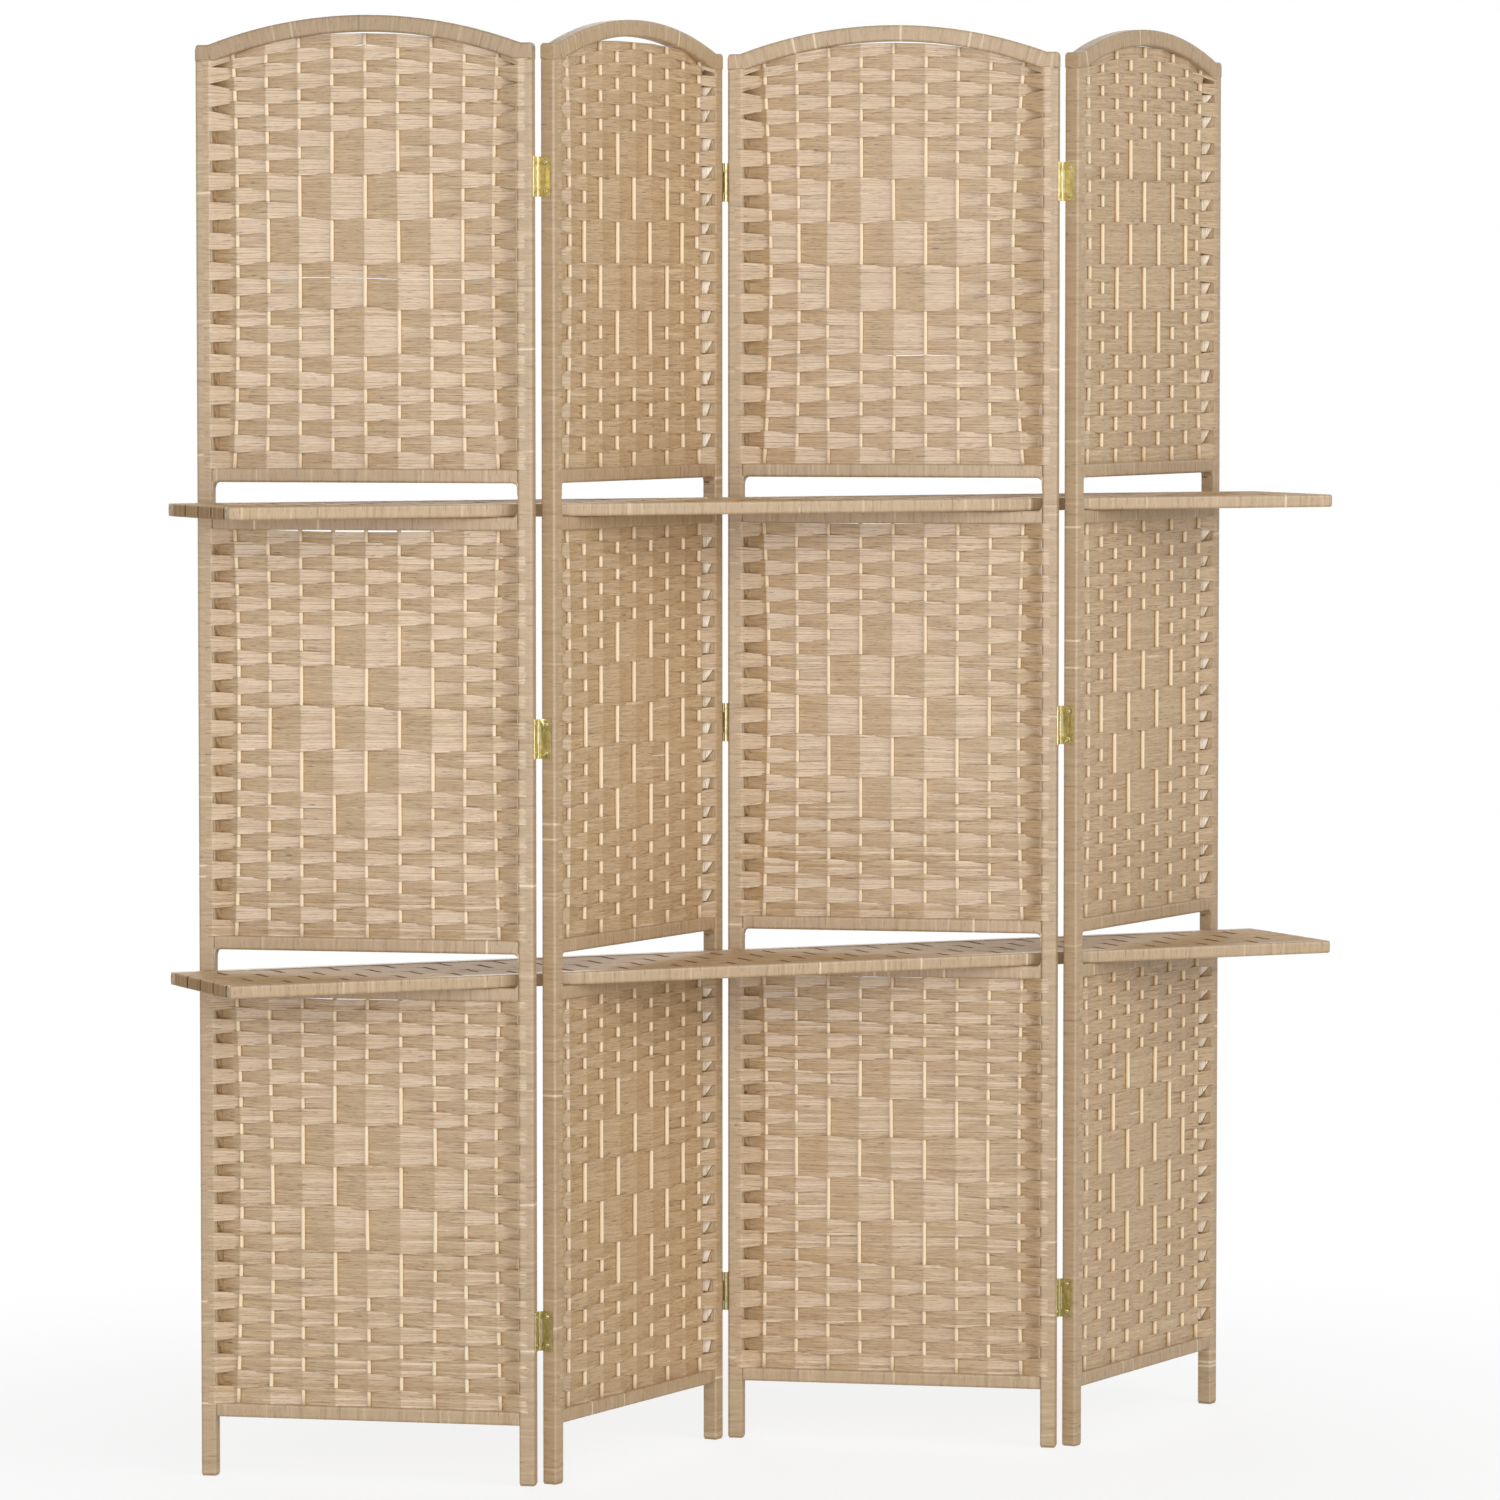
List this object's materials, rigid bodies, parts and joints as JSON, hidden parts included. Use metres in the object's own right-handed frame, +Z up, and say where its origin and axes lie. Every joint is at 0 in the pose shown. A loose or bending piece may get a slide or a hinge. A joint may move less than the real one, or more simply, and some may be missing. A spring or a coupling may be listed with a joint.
{
  "type": "woven folding screen with shelves",
  "caption": "Arched folding screen of woven paper-cord panels on hinged wooden frames, with long woven shelves laid through slots in the panels.",
  "frame": {"origin": "on the floor under the middle of the row of panels", "axes": "+X along the row and the shelves, +Y to the back, +Z up"},
  "size_m": [1.43, 0.2518, 1.7],
  "materials": {
    "frame_wood": "sawn softwood",
    "stake_wood": "peeled round stick",
    "paper_winding": "wound paper cord",
    "paper_weave": "woven paper cord",
    "brass": "bright plated"
  },
  "bodies": {
    "panel_1": {"left_stile_1": "frame_wood", "right_stile_1": "frame_wood", "arched_rail_1": "frame_wood", "cross_rails_1": "frame_wood", "frame_winding_1": "paper_winding", "stakes_1": "stake_wood", "lower_weave_1": "paper_weave", "middle_weave_1": "paper_weave", "upper_weave_1": "paper_weave", "hinge_screws_1": "brass", "hinge_1_left_leaves": "brass"},
    "panel_2": {"left_stile_2": "frame_wood", "right_stile_2": "frame_wood", "arched_rail_2": "frame_wood", "cross_rails_2": "frame_wood", "frame_winding_2": "paper_winding", "stakes_2": "stake_wood", "lower_weave_2": "paper_weave", "middle_weave_2": "paper_weave", "upper_weave_2": "paper_weave", "hinge_screws_2": "brass", "hinge_1_right_leaves": "brass", "hinge_1_pins": "brass", "hinge_2_left_leaves": "brass"},
    "panel_3": {"left_stile_3": "frame_wood", "right_stile_3": "frame_wood", "arched_rail_3": "frame_wood", "cross_rails_3": "frame_wood", "frame_winding_3": "paper_winding", "stakes_3": "stake_wood", "lower_weave_3": "paper_weave", "middle_weave_3": "paper_weave", "upper_weave_3": "paper_weave", "hinge_screws_3": "brass", "hinge_2_right_leaves": "brass", "hinge_2_pins": "brass", "hinge_3_left_leaves": "brass"},
    "panel_4": {"left_stile_4": "frame_wood", "right_stile_4": "frame_wood", "arched_rail_4": "frame_wood", "cross_rails_4": "frame_wood", "frame_winding_4": "paper_winding", "stakes_4": "stake_wood", "lower_weave_4": "paper_weave", "middle_weave_4": "paper_weave", "upper_weave_4": "paper_weave", "hinge_screws_4": "brass", "hinge_3_right_leaves": "brass", "hinge_3_pins": "brass"},
    "lower_shelf": {"lower_shelf_frame": "frame_wood", "lower_shelf_winding": "paper_winding", "lower_shelf_sticks": "stake_wood", "lower_shelf_deck": "paper_weave"},
    "upper_shelf": {"upper_shelf_frame": "frame_wood", "upper_shelf_winding": "paper_winding", "upper_shelf_sticks": "stake_wood", "upper_shelf_deck": "paper_weave"}
  },
  "joints": [
    {"name": "fold", "type": "hinge", "parent": "panel_2", "child": "panel_1", "pos_m": [-0.3387, -0.1102, 0.846], "axis": [0, 0, -1], "range_deg": [0, 107.2]},
    {"name": "fold_middle", "type": "hinge", "parent": "panel_2", "child": "panel_3", "pos_m": [0, 0.1102, 0.846], "axis": [0, 0, -1], "range_deg": [0, 107.2]},
    {"name": "fold_right", "type": "hinge", "parent": "panel_3", "child": "panel_4", "pos_m": [0.3387, -0.1102, 0.846], "axis": [0, 0, 1], "range_deg": [0, 107.2]},
    {"name": "lower_shelf_swivel", "type": "hinge", "parent": "panel_2", "child": "lower_shelf", "pos_m": [-0.16935, 0, 0.579], "axis": [0, 0, -1], "range_deg": [0, 53.6]},
    {"name": "upper_shelf_pull", "type": "slide", "parent": "lower_shelf", "child": "upper_shelf", "axis": [1, 0, 0], "range_m": [0, 1.4]}
  ],
  "couplings": [
    {"joint": "fold_middle", "follows": "fold", "ratio": 1},
    {"joint": "fold_right", "follows": "fold", "ratio": 1},
    {"joint": "lower_shelf_swivel", "follows": "fold", "ratio": 0.5}
  ]
}
